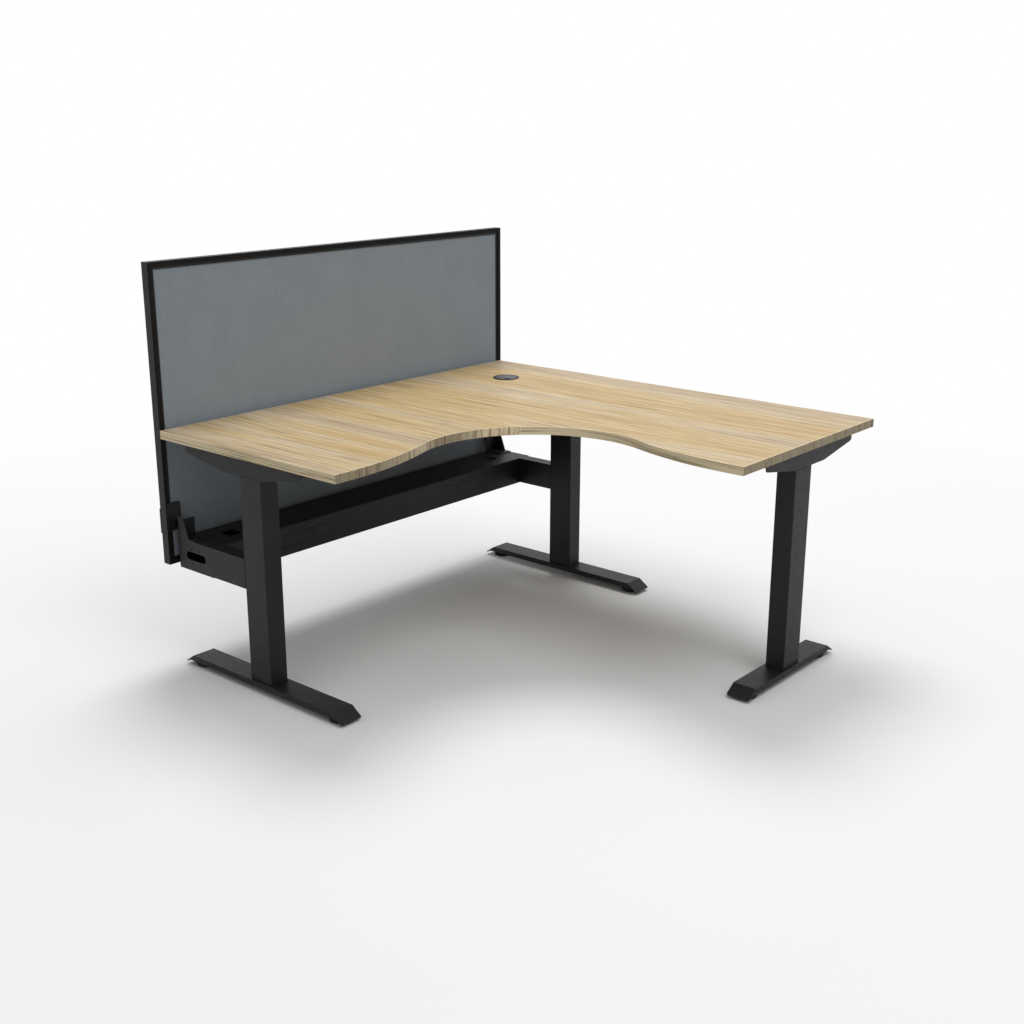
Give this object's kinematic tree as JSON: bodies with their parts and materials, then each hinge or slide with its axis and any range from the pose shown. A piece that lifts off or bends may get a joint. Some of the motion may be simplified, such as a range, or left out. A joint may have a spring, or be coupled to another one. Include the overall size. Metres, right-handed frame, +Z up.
{
  "type": "corner workstation",
  "caption": "Corner workstation: an L-shaped oak-finish worktop on black steel legs, with a cable tray under one wing and a framed fabric screen behind it.",
  "frame": {"origin": "middle of the whole outline, on the floor under the glides", "axes": "+X along the right wing away from the corner, -Y along the left wing away from the corner, +Z up"},
  "size_m": [1.555, 1.523, 1.215],
  "materials": {
    "oak_laminate": "light oak laminate, satin",
    "oak_edge": "light oak edging, satin",
    "black_steel": "black satin powder coat",
    "black_frame": "black powder coated extrusion",
    "screen_board": "plain board",
    "grey_cloth": "plain woven grey fabric",
    "grey_plastic": "moulded blue-grey plastic",
    "black_plastic": "moulded black plastic",
    "zinc_steel": "zinc plated",
    "black_bolts": "black oxide",
    "black_rubber": "moulded rubber"
  },
  "bodies": {
    "frame": {"arm_bolts": "zinc_steel", "bracket_bolts": "black_bolts", "bracket_head_plates": "zinc_steel", "cable_tray": "black_steel", "clamp_bolts": "black_bolts", "clamp_front_corner": "black_steel", "clamp_front_left": "black_steel", "clamp_nuts": "black_bolts", "clamp_rear_corner": "black_steel", "clamp_rear_left": "black_steel", "clamp_spacers": "black_bolts", "clamp_washers": "black_rubber", "column_corner": "black_steel", "column_end_plates": "zinc_steel", "column_left": "black_steel", "column_right": "black_steel", "edge_band": "oak_edge", "foot_bolts": "zinc_steel", "foot_corner": "black_steel", "foot_left": "black_steel", "foot_right": "black_steel", "glide_nuts": "zinc_steel", "grommet_sleeve": "black_plastic", "head_bolts": "zinc_steel", "rivet_nuts": "zinc_steel", "screen_bracket_corner": "black_steel", "screen_bracket_left": "black_steel", "screen_cloth_back": "grey_cloth", "screen_cloth_front": "grey_cloth", "screen_core": "screen_board", "screen_rail_bottom": "black_frame", "screen_rail_corner": "black_frame", "screen_rail_left": "black_frame", "screen_rail_top": "black_frame", "top_bracket_corner": "black_steel", "top_bracket_left": "black_steel", "top_bracket_right": "black_steel", "tray_arm_corner": "black_steel", "tray_arm_left": "black_steel", "tray_cover": "black_steel", "tray_end_corner": "black_steel", "tray_end_left": "black_steel", "tray_knockouts": "black_steel", "worktop": "oak_laminate", "worktop_screws": "zinc_steel"},
    "grommet_cap": {"grommet_cap": "grey_plastic"},
    "glide_left_back": {"glide_pad_left_back": "black_plastic", "glide_stem_left_back": "zinc_steel"},
    "glide_left_front": {"glide_pad_left_front": "black_plastic", "glide_stem_left_front": "zinc_steel"},
    "glide_corner_back": {"glide_pad_corner_back": "black_plastic", "glide_stem_corner_back": "zinc_steel"},
    "glide_corner_front": {"glide_pad_corner_front": "black_plastic", "glide_stem_corner_front": "zinc_steel"},
    "glide_right_back": {"glide_pad_right_back": "black_plastic", "glide_stem_right_back": "zinc_steel"},
    "glide_right_front": {"glide_pad_right_front": "black_plastic", "glide_stem_right_front": "zinc_steel"}
  },
  "joints": [
    {"name": "grommet_cap_turn", "type": "hinge", "parent": "frame", "child": "grommet_cap", "pos_m": [-0.4825, 0.4985, 0.735], "axis": [0, 0, 1], "continuous": true},
    {"name": "glide_left_back_level", "type": "slide", "parent": "frame", "child": "glide_left_back", "axis": [0, 0, -1], "range_m": [0, 0.007]},
    {"name": "glide_left_front_level", "type": "slide", "parent": "frame", "child": "glide_left_front", "axis": [0, 0, -1], "range_m": [0, 0.007]},
    {"name": "glide_corner_back_level", "type": "slide", "parent": "frame", "child": "glide_corner_back", "axis": [0, 0, -1], "range_m": [0, 0.007]},
    {"name": "glide_corner_front_level", "type": "slide", "parent": "frame", "child": "glide_corner_front", "axis": [0, 0, -1], "range_m": [0, 0.007]},
    {"name": "glide_right_back_level", "type": "slide", "parent": "frame", "child": "glide_right_back", "axis": [0, 0, -1], "range_m": [0, 0.007]},
    {"name": "glide_right_front_level", "type": "slide", "parent": "frame", "child": "glide_right_front", "axis": [0, 0, -1], "range_m": [0, 0.007]}
  ]
}
